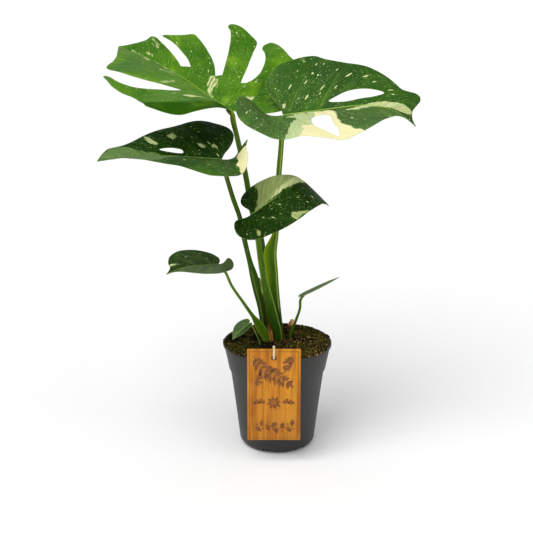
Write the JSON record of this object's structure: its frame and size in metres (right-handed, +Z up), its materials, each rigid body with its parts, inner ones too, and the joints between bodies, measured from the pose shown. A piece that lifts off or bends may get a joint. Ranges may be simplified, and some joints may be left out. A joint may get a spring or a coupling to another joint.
{
  "type": "potted variegated monstera plant",
  "caption": "Young variegated monstera house plant with split and heart-shaped leaves on sheathed petioles, in a round plastic nursery pot of soil with a wooden plant tag on a twine loop.",
  "frame": {"origin": "centre of the pot's flat foot, on the surface it stands on", "axes": "+Z up along the pot's axis; -Y towards the front, where the tag hangs; +X to the right seen from the front"},
  "size_m": [0.3449, 0.2476, 0.4448],
  "materials": {
    "pot_plastic": "matte dark grey thin moulded plastic",
    "soil": "dark crumbly potting soil with moss and bark bits",
    "leaf": "waxy green leaf with cream flecks and sectors",
    "petiole": "smooth green stalk with a lighter sheath edge",
    "dry_sheath": "dry papery brown bud sheath",
    "bark": "rough brown bark",
    "tag_wood": "orange-brown veneer with burnt dark-brown plain sprigs and border",
    "twine": "pale twisted natural twine"
  },
  "bodies": {
    "root": {"pot": "pot_plastic", "soil": "soil", "blade_a": "leaf", "blade_b": "leaf", "blade_c": "leaf", "blade_d": "leaf", "blade_e": "leaf", "blade_f": "leaf", "blade_g": "leaf", "petiole_a": "petiole", "petiole_b": "petiole", "petiole_c": "petiole", "petiole_d": "petiole", "petiole_e": "petiole", "petiole_f": "petiole", "petiole_g": "petiole", "dry_sheath": "dry_sheath", "stem_stub": "bark", "bark_chip": "bark", "tag": "tag_wood", "twine": "twine"}
  },
  "joints": []
}
